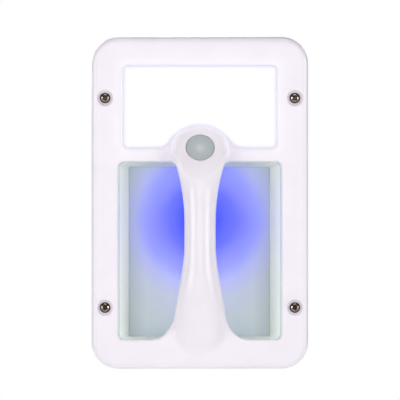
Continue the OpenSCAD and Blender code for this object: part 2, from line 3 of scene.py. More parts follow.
import bpy
import numpy as np
import openvdb as vdb
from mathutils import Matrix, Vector
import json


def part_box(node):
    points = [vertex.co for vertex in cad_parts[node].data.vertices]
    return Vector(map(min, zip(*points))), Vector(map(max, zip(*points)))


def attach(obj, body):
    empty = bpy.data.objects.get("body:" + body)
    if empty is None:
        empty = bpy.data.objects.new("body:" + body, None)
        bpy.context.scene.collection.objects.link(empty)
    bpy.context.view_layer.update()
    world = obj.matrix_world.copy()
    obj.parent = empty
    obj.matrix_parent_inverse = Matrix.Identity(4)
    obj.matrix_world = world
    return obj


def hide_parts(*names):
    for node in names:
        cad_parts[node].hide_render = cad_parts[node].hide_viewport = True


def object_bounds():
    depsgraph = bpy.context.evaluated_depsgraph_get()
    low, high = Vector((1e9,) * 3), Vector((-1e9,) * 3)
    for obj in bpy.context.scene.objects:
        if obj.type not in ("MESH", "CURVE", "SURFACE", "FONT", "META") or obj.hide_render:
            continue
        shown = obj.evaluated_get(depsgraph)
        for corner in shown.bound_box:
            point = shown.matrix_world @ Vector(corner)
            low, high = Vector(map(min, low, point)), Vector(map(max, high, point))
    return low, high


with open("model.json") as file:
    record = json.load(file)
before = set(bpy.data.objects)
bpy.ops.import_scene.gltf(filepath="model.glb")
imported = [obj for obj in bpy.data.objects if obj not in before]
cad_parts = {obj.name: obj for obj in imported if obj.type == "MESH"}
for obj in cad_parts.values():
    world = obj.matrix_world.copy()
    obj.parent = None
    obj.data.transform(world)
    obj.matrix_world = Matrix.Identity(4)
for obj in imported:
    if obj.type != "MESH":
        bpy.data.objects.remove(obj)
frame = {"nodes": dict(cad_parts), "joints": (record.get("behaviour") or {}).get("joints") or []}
CAD_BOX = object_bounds()

# The looks of a lit, recessed grab handle. Shapes are distance fields in millimetres: below
# zero inside the solid, above zero outside. Each field is meshed, its points are drawn onto
# the true surface, and its normals are the field's own slope. Numbers given straight to
# both, cut and join are the radii of small edges and corners.

MM = 0.001


def box_mm(node):
    """A CAD node's lowest and highest corners in millimetres."""
    low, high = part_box(node)
    return np.array(low) / MM, np.array(high) / MM


# ---- Sizes, from the frame where it holds them ----

BODY_HALF_W, BACK_Y, BODY_HALF_H = box_mm("front_housing")[1]
LENS_LOW, LENS_HIGH = box_mm("light_panel_lens")
LENS_INSET = 0.5
LENS_FLANGE = 2.0
FACE_Y = LENS_LOW[1] - LENS_INSET
SKIN_Y = FACE_Y + 3.0
CORNER_R = 19.0
EDGE_R = 4.0
WALL = 3.0
POCKET_LIP = 2.5
PANEL_GAP = 0.15
WINDOW_EDGE_R = 1.8
OPENING_EDGE_R = 1.1

PANEL_HALF = LENS_HIGH[0] - LENS_FLANGE
PANEL_LOW = LENS_LOW[2] + LENS_FLANGE
PANEL_TOP = LENS_HIGH[2] - LENS_FLANGE
PANEL_R = 3.5
BAY_R = 26.2
BAY_Z = 28.65
BAY_FILLET = 9.5

# The pocket and its tub. Rates are millimetres of lean for each millimetre of depth.

POCKET_HALF = 58.5
POCKET_LOW = -97.4
POCKET_TOP = 29.4
POCKET_R = 4.3
POCKET_DEPTH = 38.0
SIDE_RATE = 7.6 / POCKET_DEPTH
TOP_RATE = 3.4 / POCKET_DEPTH
LOW_RATE = 1.4 / POCKET_DEPTH
CORNER_RATE = 2.8 / POCKET_DEPTH
FLOOR_Y = FACE_Y + POCKET_DEPTH
TUB_WALL = 2.2
FLANGE_HALF = 62.0
FLANGE_LOW = -103.8
FLANGE_TOP = 36.0
FLANGE_THICK = 2.0
FIT = 0.1

# The grip

HEAD_R = 19.3
HEAD_Z = 34.0
FOOT_R = 19.6
FOOT_Z = -90.4
WAIST = 11.1
FLARE_TOP = -14.0
FLARE_LOW = -29.0
FLARE_END = -98.0
CREST = 16.0
CREST_BLEND = 6.0
FOOT_OUT = 1.0
ROOT_R_HIGH = 3.5
ROOT_R_LOW = 16.0
PRESS_AXIS = frame["joints"][0]["axis"]
HEAD_TILT = math.atan2(-PRESS_AXIS[2], PRESS_AXIS[1])
FOOT_TILT = math.radians(18)
BAR_SLOPE = 0.97
CREST_SLOPE = 0.95
HEAD_DRAFT = 0.4
FOOT_DRAFT = 0.5
SHOULDER_MAX = 12.5
HEAD_SHOULDER = 4.5
HEAD_FILLET = 2.2
FOOT_FILLET = 2.5
HEAD_DRAFT_ZS = (HEAD_Z + 4, HEAD_Z + 16)
FOOT_DRAFT_ZS = (-100, -108)
SHOULDER_ZS = (11, 26)
HEAD_FILLET_ZS = (28, 34)
FOOT_FILLET_ZS = (-88, -96)
PART_Y = FACE_Y + 1
GRIP_BACK_Y = -3.0
GRIP_WALL = 1.8

# The blue light in the grip's back

BLUE_Z = -11.5
BLUE_BOARD_Y = -6.6
GLOW_X = 1.4

# The button in the head

CAP_R = 10.0
CAP_SINK = 0.5
CAP_OUT = 8.7
CAP_Z = 39.5
CAP_HOLE_R = CAP_R + 0.2
CAP_FLANGE_R = 11.7
CAP_STEM_R = 2.2
DIMPLE_R = 14.0
DIMPLE_DEPTH = 0.4
CARRIER_R = 13.6
CARRIER_WALL = 2.2
CAP_HOLE_DEPTH = 4.0
BORE_SPAN = (-16, -2.5)
BORE_WALL_SPAN = (-14.2, -2)

# Screws

SCREW_X = 67.5
SCREW_Z = 74.5
SCREW_TURNS = (12, 38, 63, 21)
BOSS_R = 6.9
SMALL_BOSS_R = 3.4
TUB_SCREWS = [(-40, -101.6), (0, -101.6), (40, -101.6), (-45, 33.2), (45, 33.2)]
EAR_SCREWS = [(-60, 55), (60, 55), (-60, 90), (60, 90)]
COVER_SCREWS = [(-50.8, 43.8), (50.8, 43.8), (-50.8, 93.6), (50.8, 93.6)]
GRIP_SCREWS = [(0, -80), (0, -48), (0, 16)]
SMALL_PASS_R = 1.4
SMALL_THREAD_R = 1.3
SMALL_SCREW_R = 1.25
SMALL_BOSSES = [place for place in TUB_SCREWS + EAR_SCREWS if place[0] >= 0]

# The tray and the cover behind the panel

BOX_WALL = 1.5
BOX_FRONT_Y = -4.9
BOX_BACK_Y = 12.0
SHELF_FRONT_Y = 8.0
SHELF_BACK_Y = 10.0
BOX_FIT = 0.3
EAR_R = 2.9
EAR_ROOT_X = 58.0
POST_R = 3.0
COVER_FRONT_Y = 13.0
COVER_FLOOR_Y = 29.0
COVER_BACK_Y = 31.0
SUNK_DEPTH = 0.7
SUNK_INSET = 5.0
PANEL_WIRE_XS = (18.8, 21.2)
PANEL_WIRE_Z = 58.0
BUTTON_WIRE_X = -3.0
BOARD_Z = 78.0
BOARD_SCREW_X = 34.5
BOARD_SCREW_Z = 14.5
GLAND_X = -45.5
GLAND_Z = 70.0
CABLE_HOLE_R = 3.2
GLAND_HOLE_R = 6.0
GLAND_PITCH = 1.5
GLAND_FLANGE_YS = (31, 35)
GLAND_FRONT_YS = (24.5, 31.5)
GLAND_BACK_YS = (34.5, 40)
GLAND_NUT_YS = (35.1, 40)
GLAND_DOME_YS = (39, 43)
LOCKNUT_YS = (26, 29)

# The fixing screws' seats and heads

DISH_R = 5.1
DISH_EDGE_R = 1.1
SCREW_HEAD_R = 4.0
SCREW_HEAD_RISE = 2.4
SCREW_LENGTH = 26.8
SEAT_Y = FACE_Y + 1.6

# Meshing. The first three are in steps between a field's samples, the last in millimetres.

MARGIN = 2.5
BAND = 3.0
REACH = 0.6
SLOPE_STEP = 0.02


# ---- Distance fields: the small set of moves that every shape is made of ----


def both(a, b, r=0.0):
    """Where two solids overlap, with the edge between them rounded by r."""
    deep = np.minimum(np.maximum(a, b), -r)
    return deep + np.hypot(np.maximum(a + r, 0), np.maximum(b + r, 0))


def cut(a, b, r=0.0):
    """Solid a without solid b, with the new edge rounded by r."""
    return both(a, -b, r)


def join(a, b, r=0.0):
    """Two solids together, with the inner corner between them filled by r."""
    far = np.maximum(np.minimum(a, b), r)
    return far - np.hypot(np.maximum(r - a, 0), np.maximum(r - b, 0))


def between(value, low, high):
    """A layer from low to high."""
    return np.maximum(low - value, value - high)


def rectangle(x, z, x0, x1, z0, z1, r):
    """A flat rectangle with round corners."""
    a = np.abs(x - (x0 + x1) / 2) - ((x1 - x0) / 2 - r)
    b = np.abs(z - (z0 + z1) / 2) - ((z1 - z0) / 2 - r)
    return np.hypot(np.maximum(a, 0), np.maximum(b, 0)) + np.minimum(np.maximum(a, b), 0) - r


def circle(x, z, cx, cz, r):
    """A flat disc round (cx, cz)."""
    return np.hypot(x - cx, z - cz) - r


def smooth(t):
    """A soft step from 0 to 1 while t goes from 0 to 1."""
    u = np.clip(t, 0, 1)
    return u * u * (3 - 2 * u)


def rise(z, ends):
    """A soft step from 0 at the first end to 1 at the second."""
    return smooth((z - ends[0]) / (ends[1] - ends[0]))


def soft_min(a, b, k):
    """The lower of two heights, with the corner between them softened over k."""
    return np.minimum(a, b) - np.maximum(k - np.abs(a - b), 0) ** 2 / (4 * k)


# ---- The outlines that several pieces share ----


def panel_outline(x, z):
    """The light panel's outline: a rectangle less the bay round the handle's head."""
    across = np.abs(x)
    rect = rectangle(x, z, -PANEL_HALF, PANEL_HALF, PANEL_LOW, PANEL_TOP, PANEL_R)
    outline = np.maximum(rect, -circle(x, z, 0, BAY_Z, BAY_R))
    fillet_z = PANEL_LOW + BAY_FILLET
    fillet_x = math.sqrt((BAY_R + BAY_FILLET) ** 2 - (fillet_z - BAY_Z) ** 2)
    to_bay = np.array([-fillet_x, BAY_Z - fillet_z]) / (BAY_R + BAY_FILLET)
    dx = across - fillet_x
    dz = z - fillet_z
    along_bay = dx / to_bay[0]
    down = -(dz - along_bay * to_bay[1])
    inside = (along_bay > 0) & (down > 0)
    return np.where(inside, np.hypot(dx, dz) - BAY_FILLET, outline)


def pocket_outline(x, y, z):
    """The pocket's outline, which narrows with depth and gets sharper corners."""
    depth = y - FACE_Y
    r = POCKET_R - depth * CORNER_RATE
    a = np.abs(x) - (POCKET_HALF - depth * SIDE_RATE - r)
    top = z - (POCKET_TOP - depth * TOP_RATE - r)
    low = POCKET_LOW + depth * LOW_RATE + r - z
    b = np.maximum(top, low)
    corner = np.hypot(np.maximum(a, 0), np.maximum(b, 0))
    return corner + np.minimum(np.maximum(a, b), 0) - r


def bar_half(z):
    """Half of the grip's width at height z."""
    up = np.maximum(z - FLARE_TOP, 0) / (HEAD_Z - FLARE_TOP)
    low = smooth((FLARE_LOW - z) / (FLARE_LOW - FLARE_END))
    return WAIST + (HEAD_R - WAIST) * up * up + (FOOT_R - WAIST) * low


def grip_outline(x, z):
    """The grip seen from the front: a waisted bar with a round head and foot."""
    bar = (np.abs(x) - bar_half(z)) * BAR_SLOPE
    head = circle(x, z, 0, HEAD_Z, HEAD_R)
    foot = circle(x, z, 0, FOOT_Z, FOOT_R)
    upper = np.where(z > HEAD_Z, head, bar)
    return np.where(z < FOOT_Z, np.maximum(foot, bar), upper)


def crest(z):
    """How far the grip's crest stands off the face at height z."""
    head = CAP_OUT + (CAP_Z - z) * math.tan(HEAD_TILT)
    foot = FOOT_OUT + (z - FOOT_Z + FOOT_R) * math.tan(FOOT_TILT)
    return soft_min(soft_min(CREST, head, CREST_BLEND), foot, CREST_BLEND)


def head_axes(x, y, z):
    """Distance from the button's axis, and height along it from the head's surface."""
    dy = y - (FACE_Y - CAP_OUT)
    dz = z - CAP_Z
    along = -dy * math.cos(HEAD_TILT) + dz * math.sin(HEAD_TILT)
    up = dy * math.sin(HEAD_TILT) + dz * math.cos(HEAD_TILT)
    return np.hypot(x, up), along


# ---- Meshing ----


def slopes(field, points):
    """The field's slope at each point."""
    slope = np.zeros_like(points)
    for axis in range(3):
        ahead = points.copy()
        behind = points.copy()
        ahead[:, axis] += SLOPE_STEP
        behind[:, axis] -= SLOPE_STEP
        slope[:, axis] = (field(*ahead.T) - field(*behind.T)) / (2 * SLOPE_STEP)
    return slope


def draw_onto(field, points, reach):
    """Moves points onto the surface, each by no more than reach."""
    start = points.copy()
    for _ in range(3):
        slope = slopes(field, points)
        steep = np.maximum((slope * slope).sum(1), 0.05)
        points = points - slope * (field(*points.T) / steep)[:, None]
        moved = np.clip(points - start, -reach, reach)
        points = start + moved
    return points


def mesh_field(field, low, high, step, merge=0.0):
    """Meshes a field inside a box: points, faces and normals."""
    low = np.array(low, float) - MARGIN * step
    counts = np.ceil((np.array(high, float) + MARGIN * step - low) / step).astype(int) + 1
    axes = [(low[i] + step * np.arange(counts[i])).astype(np.float32) for i in range(3)]
    x = axes[0][:, None, None]
    y = axes[1][None, :, None]
    z = axes[2][None, None, :]
    values = np.broadcast_to(field(x, y, z), tuple(counts))
    values = np.clip(values, -BAND * step, BAND * step).astype(np.float32)
    grid = vdb.FloatGrid(background=BAND * step)
    grid.copyFromArray(values)
    grid.transform = vdb.createLinearTransform(voxelSize=step)
    points, triangles, quads = grid.convertToPolygons(isovalue=0, adaptivity=merge)
    points = points.astype(float) + low
    points = draw_onto(field, points, REACH * step)
    normals = slopes(field, points)
    normals /= np.maximum(np.linalg.norm(normals, axis=1), 1e-6)[:, None]
    return points, [np.array(triangles), np.array(quads)], normals


def new_piece(name, points, faces, normals, material, body="housing"):
    """A piece from points in millimetres, riding on its body."""
    mesh = bpy.data.meshes.new(name)
    corners = [f for f in faces if len(f)]
    loops = np.concatenate([f.ravel() for f in corners])
    sizes = np.concatenate([np.full(len(f), f.shape[1]) for f in corners])
    mesh.vertices.add(len(points))
    mesh.vertices.foreach_set("co", (points * MM).astype(np.float32).ravel())
    mesh.loops.add(len(loops))
    mesh.loops.foreach_set("vertex_index", loops.astype(np.int32))
    mesh.polygons.add(len(sizes))
    starts = np.concatenate([[0], np.cumsum(sizes)[:-1]])
    mesh.polygons.foreach_set("loop_start", starts.astype(np.int32))
    mesh.update(calc_edges=True)
    mesh.validate()
    mesh.polygons.foreach_set("use_smooth", np.ones(len(mesh.polygons), bool))
    if len(mesh.vertices) == len(normals):
        mesh.normals_split_custom_set_from_vertices(normals)
    piece = bpy.data.objects.new(name, mesh)
    bpy.context.scene.collection.objects.link(piece)
    piece.data.materials.append(material)
    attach(piece, body)
    return piece


def field_piece(name, node, field, step, material, merge=0.0, body="housing"):
    """A piece meshed from a field inside its CAD node's box, which takes that node's place."""
    low, high = box_mm(node)
    points, faces, normals = mesh_field(field, low, high, step, merge)
    piece = new_piece(name, points, faces, normals, material, body)
    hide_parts(node)
    return piece


# ---- Materials ----


class Nodes:
    """One material's nodes, linked as they are added."""

    def __init__(self, name):
        self.material = bpy.data.materials.new(name)
        self.material.use_nodes = True
        self.tree = self.material.node_tree
        self.shader = self.tree.nodes["Principled BSDF"]
        self.place = self.add("ShaderNodeTexCoord").outputs["Object"]

    def add(self, kind, inputs=None, **settings):
        """Adds a node with its settings, and sets or links its inputs."""
        node = self.tree.nodes.new(kind)
        for key, value in settings.items():
            setattr(node, key, value)
        for key, value in (inputs or {}).items():
            self.put(node.inputs[key], value)
        return node

    def put(self, socket, value):
        """Links a socket to another's output, or gives it a constant."""
        if isinstance(value, bpy.types.NodeSocket):
            self.tree.links.new(value, socket)
        else:
            socket.default_value = value

    def surface(self, **inputs):
        """Sets or links the shader's own sockets."""
        names = {key.replace("_", " "): value for key, value in inputs.items()}
        for key, value in names.items():
            self.put(self.shader.inputs[key], value)

    def noise(self, scale, detail):
        """A soft random pattern between 0 and 1."""
        sizes = {"Vector": self.place, "Scale": scale, "Detail": detail, "Roughness": 0.5}
        return self.add("ShaderNodeTexNoise", sizes).outputs["Fac"]

    def span(self, value, ends):
        """Maps a coordinate between two ends, in millimetres, to 0..1."""
        return self.between(value, ends[0] * MM, ends[1] * MM)

    def spread(self, value, low, high):
        """Maps 0..1 to low..high."""
        ends = {"Value": value, "To Min": low, "To Max": high}
        return self.add("ShaderNodeMapRange", ends).outputs["Result"]

    def between(self, value, low, high):
        """Maps low..high to 0..1."""
        ends = {"Value": value, "From Min": low, "From Max": high}
        return self.add("ShaderNodeMapRange", ends).outputs["Result"]

    def mix(self, factor, a, b):
        """Mixes two colours, linked or constant."""
        node = self.add("ShaderNodeMix", data_type="RGBA")
        sockets = [s for s in node.inputs if s.type == "RGBA"]
        self.put(node.inputs[0], factor)
        self.put(sockets[0], a)
        self.put(sockets[1], b)
        return [s for s in node.outputs if s.type == "RGBA"][0]

    def ramp(self, value, stops):
        """A colour for each value, through stops of (place, colour)."""
        node = self.add("ShaderNodeValToRGB", {"Fac": value})
        ramp = node.color_ramp
        while len(ramp.elements) < len(stops):
            ramp.elements.new(0.5)
        for element, (place, color) in zip(ramp.elements, stops):
            element.position = place
            element.color = (*color, 1)
        return node.outputs["Color"]

    def math(self, operation, a, b=0.0):
        """One step of arithmetic."""
        node = self.add("ShaderNodeMath", operation=operation)
        self.put(node.inputs[0], a)
        self.put(node.inputs[1], b)
        return node.outputs["Value"]

    def marked(self, name):
        """A value that mark stored on the piece."""
        return self.add("ShaderNodeAttribute", attribute_name=name).outputs["Fac"]

    def axes(self):
        """The three coordinates of the place."""
        return self.add("ShaderNodeSeparateXYZ", {"Vector": self.place}).outputs

    def length(self, a, b):
        """The length of a flat step of a and b."""
        squares = self.math("ADD", self.math("POWER", a, 2), self.math("POWER", b, 2))
        return self.math("SQRT", squares)

    def bump(self, height, strength, distance):
        """A fine relief that only tilts the normals."""
        sizes = {"Height": height, "Strength": strength, "Distance": distance}
        self.surface(Normal=self.add("ShaderNodeBump", sizes).outputs["Normal"])


CLOUD_SCALE = 55
CLOUD_ENDS = (0.3, 0.7)
MOTTLE = 0.03
GLOSS_SCALE = 160
GLOSS_SPREAD = 0.06
SKIN_SCALE = 1400
SKIN_HEIGHT = 0.0004


def cloudy(nodes, dark, light):
    """A colour that drifts between dark and light."""
    low, high = CLOUD_ENDS
    return nodes.ramp(nodes.noise(CLOUD_SCALE, 3), [(low, dark), (high, light)])


def plastic(name, rough, grain=0.02, grain_scale=SKIN_SCALE):
    """Moulded plastic's uneven gloss and fine skin texture, without its colour."""
    nodes = Nodes(name)
    gloss = nodes.noise(GLOSS_SCALE, 3)
    ends = (rough * (1 - GLOSS_SPREAD), rough * (1 + GLOSS_SPREAD))
    nodes.surface(Roughness=nodes.spread(gloss, *ends))
    nodes.bump(nodes.noise(grain_scale, 2), grain, SKIN_HEIGHT)
    return nodes


def moulded(name, color, rough, grain=0.02, grain_scale=SKIN_SCALE):
    """Moulded plastic in one faintly clouded colour."""
    nodes = plastic(name, rough, grain, grain_scale)
    nodes.surface(Base_Color=cloudy(nodes, tuple(c * (1 - MOTTLE) for c in color), color))
    return nodes


def housing_plastic():
    """White plastic, with a painted glow at the panel's edge and painted greener shade down the
    pocket's sides.
    """
    nodes = plastic("housing_plastic", 0.26)
    face = cloudy(nodes, (0.839, 0.793, 0.854), (0.865, 0.818, 0.88))
    # Painted shade: the housing's part of the pocket's walls is tinted greener, as it looks in
    # shade.
    nodes.surface(Base_Color=nodes.mix(nodes.marked("well"), face, (0.83, 0.88, 0.77, 1)))
    # Painted glow: the face beside the window is given the panel's light as an emission.
    spill = nodes.ramp(nodes.marked("spill"), [
        (0.0, (0.0, 0.0, 0.0)), (1.0, (0.10, 0.11, 0.13))])
    nodes.surface(Emission_Color=spill, Emission_Strength=1.0)
    return nodes.material


# Where the pocket's painted light and shade change, in millimetres

GLOW_REACH = 80.0
GLOW_WAVER = 0.04
NEAR_FLOOR_YS = (26.8, 27.8)
SIDE_SHADE_XS = (38, 50.5)
TOP_SHADE_ZS = (8, 27)
TOP_WALL_ZS = (24.5, 27)
TOP_WALL_XS = (18, 50)
SIDE_WALL_XS = (36, 52)


def glow_radius(nodes):
    """Distance from the blue light's middle, seen from the front, as a share of its reach."""
    parts = nodes.axes()
    up = nodes.math("ADD", parts["Z"], -BLUE_Z * MM)
    across = nodes.math("ADD", parts["X"], -GLOW_X * MM)
    radius = nodes.math("DIVIDE", nodes.length(across, up), GLOW_REACH * MM)
    return nodes.math("ADD", radius, nodes.spread(nodes.noise(30, 3), -GLOW_WAVER, GLOW_WAVER))


def floor_color(nodes, radius, parts, aside):
    """The pocket's floor: bluer near the light, greyer towards its sides and upper corners, as
    painted light and shade.
    """
    # Painted light: the base colour turns blue near the lamp, as its light makes it look.
    shade = nodes.ramp(radius, [
        (0.15, (0.05, 0.09, 0.75)), (0.3, (0.15, 0.18, 0.75)), (0.4, (0.29, 0.31, 0.75)),
        (0.5, (0.40, 0.43, 0.75)), (0.6, (0.52, 0.56, 0.75)), (0.75, (0.64, 0.69, 0.75)),
        (1.0, (0.66, 0.72, 0.76))])
    # Painted shade: darker towards the side walls and the top.
    beside = nodes.span(aside, SIDE_SHADE_XS)
    above = nodes.span(parts["Z"], TOP_SHADE_ZS)
    edge = nodes.math("ADD", beside, nodes.math("MULTIPLY", above, 0.4))
    return nodes.mix(nodes.math("MULTIPLY", edge, 0.5), shade, (0.30, 0.38, 0.38, 1))


def wall_color(nodes, radius, parts, aside):
    """The pocket's walls, in painted light and shade: faintly green, shifted with nearness to
    the blue light, and duller along the top.
    """
    near = cloudy(nodes, (0.83, 0.88, 0.71), (0.85, 0.90, 0.73))
    far = cloudy(nodes, (0.80, 0.87, 0.82), (0.82, 0.89, 0.84))
    # Painted light: the walls' colour shifts with distance from the blue light.
    walls = nodes.mix(nodes.between(radius, 0.72, 1.0), near, far)
    # Painted shade along the top wall, less blue near its middle against the blue light there.
    off_centre = nodes.span(aside, TOP_WALL_XS)
    top_wall = nodes.mix(off_centre, (0.80, 0.84, 0.46, 1), (0.67, 0.76, 0.66, 1))
    at_top = nodes.span(parts["Z"], TOP_WALL_ZS)
    return nodes.mix(at_top, walls, top_wall)


def pocket_glow(nodes, radius, on_floor, aside):
    """A painted glow: the blue light on the floor, and a painted sheen of light on the walls."""
    glow = nodes.ramp(radius, [
        (0.0, (0.0, 0.0, 0.9)), (0.35, (0.0, 0.005, 0.65)), (0.5, (0.0, 0.005, 0.42)),
        (0.6, (0.06, 0.06, 0.28)), (0.75, (0.06, 0.06, 0.14)), (0.95, (0.06, 0.07, 0.08))])
    # Painted sheen: light on the walls, brighter towards the sides.
    sheen = nodes.ramp(nodes.span(aside, SIDE_WALL_XS), [
        (0.0, (0.03, 0.05, 0.0)), (1.0, (0.18, 0.17, 0.13))])
    return nodes.mix(on_floor, sheen, glow)


def tub_plastic():
    """The tub's plastic: white outside, with the blue light's glow and its shade painted inside.
    """
    nodes = plastic("tub_plastic", 0.31)
    radius = glow_radius(nodes)
    parts = nodes.axes()
    aside = nodes.math("ABSOLUTE", parts["X"])
    inside = nodes.marked("inside")
    on_floor = nodes.math("MULTIPLY", inside, nodes.span(parts["Y"], NEAR_FLOOR_YS))
    walls = wall_color(nodes, radius, parts, aside)
    plain = nodes.mix(inside, (0.84, 0.85, 0.84, 1), walls)
    floor_shade = floor_color(nodes, radius, parts, aside)
    nodes.surface(Base_Color=nodes.mix(on_floor, plain, floor_shade))
    light = pocket_glow(nodes, radius, on_floor, aside)
    # Painted light: the inside glows as an emission, though the tub is no lamp.
    nodes.surface(Emission_Color=light, Emission_Strength=inside)
    return nodes.material


def lens_plastic():
    """The panel's opal plastic, lit from behind and dimmer towards its edge."""
    nodes = moulded("lens_plastic", (0.5, 0.5, 0.52), 0.35)
    glow = nodes.ramp(nodes.marked("inset"), [
        (0.0, (0.25, 0.24, 0.24)), (0.18, (0.36, 0.33, 0.42)), (0.4, (0.36, 0.34, 0.45)),
        (0.7, (0.50, 0.49, 0.55)), (1.0, (1.0, 1.0, 1.0))])
    nodes.surface(Emission_Color=glow, Emission_Strength=1.0)
    return nodes.material


def cap_plastic():
    """Grey plastic, paler in the middle where the lamp behind it shows through."""
    nodes = plastic("cap_plastic", 0.34)
    away = nodes.add("ShaderNodeVectorMath", operation="DISTANCE")
    nodes.put(away.inputs[0], nodes.place)
    nodes.put(away.inputs[1], Vector((0, FACE_Y - CAP_OUT, CAP_Z)) * MM)
    share = nodes.math("DIVIDE", away.outputs["Value"], CAP_R * MM)
    nodes.surface(Base_Color=nodes.ramp(share, [
        (0.15, (0.57, 0.59, 0.61)), (0.4, (0.45, 0.51, 0.53)), (0.85, (0.42, 0.46, 0.47)),
        (1.0, (0.45, 0.46, 0.47))]))
    return nodes.material


METAL_SPECKLE = 0.75
METAL_SPECKLE_SCALE = 700
METAL_GLOSS_SCALE = 1200
METAL_MARK_SCALE = 3000
METAL_MARK_HEIGHT = 0.0002


def bare_metal(name, rough):
    """Metal's uneven gloss and fine turning marks, without its colour."""
    nodes = Nodes(name)
    gloss = nodes.noise(METAL_GLOSS_SCALE, 3)
    nodes.surface(Roughness=nodes.spread(gloss, rough * 0.7, rough * 1.4))
    nodes.surface(Metallic=1.0)
    nodes.bump(nodes.noise(METAL_MARK_SCALE, 2), 0.08, METAL_MARK_HEIGHT)
    return nodes


def metal(name, color, rough):
    """Metal in one finely speckled colour."""
    nodes = bare_metal(name, rough)
    dark = tuple(c * METAL_SPECKLE for c in color)
    speckle = nodes.noise(METAL_SPECKLE_SCALE, 4)
    nodes.surface(Base_Color=nodes.ramp(speckle, [(0.3, dark), (0.7, color)]))
    return nodes.material


def screw_metal():
    """Dark plated steel: painted shade in the recess and round the rim, and a paler ring between
    them as a painted highlight.
    """
    nodes = bare_metal("screw_nickel", 0.1)
    parts = nodes.axes()
    u = nodes.math("ADD", nodes.math("ABSOLUTE", parts["X"]), -SCREW_X * MM)
    v = nodes.math("ADD", nodes.math("ABSOLUTE", parts["Z"]), -SCREW_Z * MM)
    share = nodes.math("DIVIDE", nodes.length(u, v), SCREW_HEAD_R * MM)
    # Painted shade at the middle and the edge, painted highlight on the ring between.
    nodes.surface(Base_Color=nodes.ramp(share, [
        (0.2, (0.03, 0.022, 0.02)), (0.42, (0.12, 0.09, 0.075)), (0.5, (0.33, 0.27, 0.24)),
        (0.66, (0.28, 0.23, 0.20)), (0.8, (0.04, 0.03, 0.028))]))
    return nodes.material


def blue_lens_plastic():
    """The blue lamp's clear lens, lit."""
    nodes = moulded("blue_lens_plastic", (0.6, 0.7, 0.95), 0.2)
    glow = nodes.ramp(nodes.noise(120, 2), [(0.3, (0.2, 0.25, 1.0)), (0.7, (0.3, 0.35, 1.0))])
    nodes.surface(Emission_Color=glow, Emission_Strength=2.0)
    return nodes.material


# ---- The front housing ----


def frame_field(x, y, z):
    """The frame: a plate with a rounded front edge, a window and the pocket's opening."""
    outline = rectangle(x, z, -BODY_HALF_W, BODY_HALF_W, -BODY_HALF_H, BODY_HALF_H, CORNER_R)
    solid = both(outline, FACE_Y - y, EDGE_R)
    solid = both(solid, y - BACK_Y, 0.3)
    hollow = np.maximum(outline + WALL, SKIN_Y - y)
    pocket = pocket_outline(x, y, z)
    hollow = np.maximum(hollow, POCKET_LIP - pocket)
    hollow = np.maximum(hollow, BOSS_R - np.hypot(np.abs(x) - SCREW_X, np.abs(z) - SCREW_Z))
    for bx, bz in SMALL_BOSSES:
        hollow = np.maximum(hollow, SMALL_BOSS_R - np.hypot(np.abs(x) - bx, z - bz))
    solid = cut(solid, hollow, 0.4)
    solid = cut(solid, panel_outline(x, z) - PANEL_GAP, WINDOW_EDGE_R)
    grip = grip_outline(x, z)
    root = np.where(z > BLUE_Z, ROOT_R_HIGH, ROOT_R_LOW)
    opening = cut(pocket, grip, root)
    return cut(solid, opening, OPENING_EDGE_R)


def grip_field(x, y, z):
    """The front half of the grip, as a solid bar."""
    top = FACE_Y - crest(z)
    front = (top - y) * CREST_SLOPE
    draft = HEAD_DRAFT * rise(z, HEAD_DRAFT_ZS) + FOOT_DRAFT * rise(z, FOOT_DRAFT_ZS)
    plan = (grip_outline(x, z) - draft * (y - top)) / np.hypot(1, draft)
    round_one = np.minimum(bar_half(z) - 0.4, SHOULDER_MAX)
    shoulder = round_one + (HEAD_SHOULDER - round_one) * rise(z, SHOULDER_ZS)
    bar = both(plan, front, shoulder)
    return both(bar, y - PART_Y, 0.3)


def button_bore(solid, x, y, z):
    """Adds the button's boss behind the head, and opens its bore and its hole."""
    radial, along = head_axes(x, y, z)
    boss = np.maximum(radial - CARRIER_R - CARRIER_WALL, between(along, *BORE_WALL_SPAN))
    solid = join(solid, boss, 0.0)
    hole = np.maximum(radial - CAP_HOLE_R, -CAP_HOLE_DEPTH - along)
    solid = cut(solid, hole, 0.5)
    bore = np.maximum(radial - CARRIER_R - FIT, between(along, *BORE_SPAN))
    return cut(solid, bore, 0.0)


def housing_field(x, y, z):
    """The frame and the grip's front half as one moulding, with its screw holes."""
    fillet = HEAD_FILLET * rise(z, HEAD_FILLET_ZS) + FOOT_FILLET * rise(z, FOOT_FILLET_ZS)
    solid = join(frame_field(x, y, z), grip_field(x, y, z), fillet)
    seat = np.maximum(np.abs(x) - bar_half(z) - FIT, PART_Y - y)
    seat = np.maximum(seat, between(z, POCKET_LOW + 1.3, POCKET_TOP - 2.5))
    solid = cut(solid, seat, 0.2)
    solid = button_bore(solid, x, y, z)
    away = np.hypot(np.abs(x) - SCREW_X, np.abs(z) - SCREW_Z)
    dish = both(away - DISH_R, y - SEAT_Y, 1.0)
    solid = cut(solid, dish, DISH_EDGE_R)
    solid = cut(solid, away - 2.3, 0.2)
    for bx, bz in SMALL_BOSSES:
        away = np.hypot(np.abs(x) - bx, z - bz)
        solid = cut(solid, np.maximum(away - SMALL_THREAD_R, SKIN_Y + 0.8 - y), 0.1)
    return solid


# ---- The grip's back cover ----


